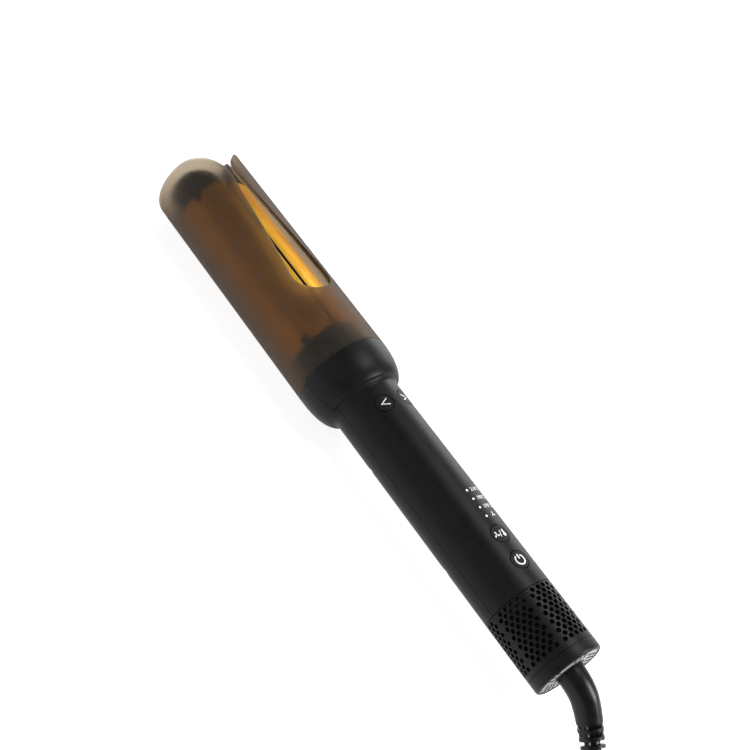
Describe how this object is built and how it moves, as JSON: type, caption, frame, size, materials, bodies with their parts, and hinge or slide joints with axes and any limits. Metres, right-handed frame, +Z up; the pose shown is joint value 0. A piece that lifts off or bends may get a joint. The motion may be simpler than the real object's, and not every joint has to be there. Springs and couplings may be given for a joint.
{
  "type": "automatic hair curler",
  "caption": "Handheld automatic hair curler: a heated split barrel turns inside an open smoked guard with a front slot, on a round handle with buttons, an air intake and a mains lead.",
  "frame": {"origin": "centre of the tool's own footprint box on the table, its cord left out", "axes": "+Y along the tool from the cord end to the open tip, +Z up through the side with the buttons, +X to the right of somebody who looks from the cord end"},
  "size_m": [0.0676, 0.5524, 0.0506],
  "materials": {
    "guard": "smoked, see-through, satin gloss",
    "housing": "fine satin texture",
    "steel": "turned",
    "filter": "fine nylon mesh",
    "vent_grey": "satin",
    "dark_plastic": "matte",
    "board": "solder mask",
    "lights": "clear white",
    "buttons": "satin",
    "brass": "machined",
    "ceramic": "ceramic, matte",
    "gear_plastic": "acetal, natural",
    "heatproof": "matte, heat resisting",
    "gold": "satin gold ceramic coat",
    "aluminium": "extruded",
    "wire": "silicone insulation",
    "cord": "satin",
    "tie": "hook and loop strap",
    "blades": "nickel plated"
  },
  "bodies": {
    "root": {"guard_shell": "guard", "front_housing": "housing", "rear_housing": "housing", "housing_screws": "steel", "intake_cage": "housing", "dust_filter": "filter", "base_ring": "housing", "base_vent_plate": "vent_grey", "cord_gland": "dark_plastic", "fan_carrier": "dark_plastic", "fan_motor": "steel", "control_board": "board", "tact_switches": "steel", "switch_bracket": "dark_plastic", "light_pipes": "lights", "power_board": "board", "power_parts": "dark_plastic", "drive_motor": "steel", "motor_gearbox": "brass", "motor_plate": "dark_plastic", "bearing_plate": "dark_plastic", "lower_bush": "brass", "upper_bulkhead": "dark_plastic", "upper_bush": "brass", "heat_shield": "ceramic", "brush_block": "dark_plastic", "supply_leads": "wire", "cord_boot": "cord", "cord_lead": "cord", "cord_hank": "cord", "cord_end": "cord", "cord_tie": "tie", "plug_body": "cord", "plug_blades": "blades"},
    "barrel": {"barrel_shaft": "steel", "barrel_gear": "gear_plastic", "slip_ring_drum": "dark_plastic", "slip_rings": "brass", "barrel_base_ring": "heatproof", "barrel_main_shell": "gold", "barrel_jaw_shell": "gold", "slit_liner": "heatproof", "heater_core": "aluminium", "ptc_heaters": "ceramic", "temperature_sensors": "steel", "tip_cap": "heatproof"},
    "pinion": {"drive_pinion": "brass"},
    "fan": {"fan_impeller": "dark_plastic"},
    "left_button": {"left_button": "buttons"},
    "right_button": {"right_button": "buttons"},
    "mode_button": {"mode_button": "buttons"},
    "power_button": {"power_button": "buttons"}
  },
  "joints": [
    {"name": "barrel_spin", "type": "hinge", "parent": "root", "child": "barrel", "pos_m": [0, 0.02, 0.0253], "axis": [0, 1, 0], "continuous": true},
    {"name": "pinion_spin", "type": "hinge", "parent": "root", "child": "pinion", "pos_m": [0, 0.004, 0.0153], "axis": [0, 1, 0], "continuous": true},
    {"name": "fan_spin", "type": "hinge", "parent": "root", "child": "fan", "pos_m": [0, -0.126, 0.0253], "axis": [0, 1, 0], "continuous": true},
    {"name": "left_button_press", "type": "slide", "parent": "root", "child": "left_button", "axis": [0.3827, 0, -0.9239], "range_m": [0, 0.0005], "stiffness_N_per_m": 600},
    {"name": "right_button_press", "type": "slide", "parent": "root", "child": "right_button", "axis": [-0.3827, 0, -0.9239], "range_m": [0, 0.0005], "stiffness_N_per_m": 600},
    {"name": "mode_button_press", "type": "slide", "parent": "root", "child": "mode_button", "axis": [0, 0, -1], "range_m": [0, 0.0005], "stiffness_N_per_m": 600},
    {"name": "power_button_press", "type": "slide", "parent": "root", "child": "power_button", "axis": [0, 0, -1], "range_m": [0, 0.0005], "stiffness_N_per_m": 600}
  ],
  "couplings": [
    {"joint": "pinion_spin", "follows": "barrel_spin", "ratio": -3}
  ]
}
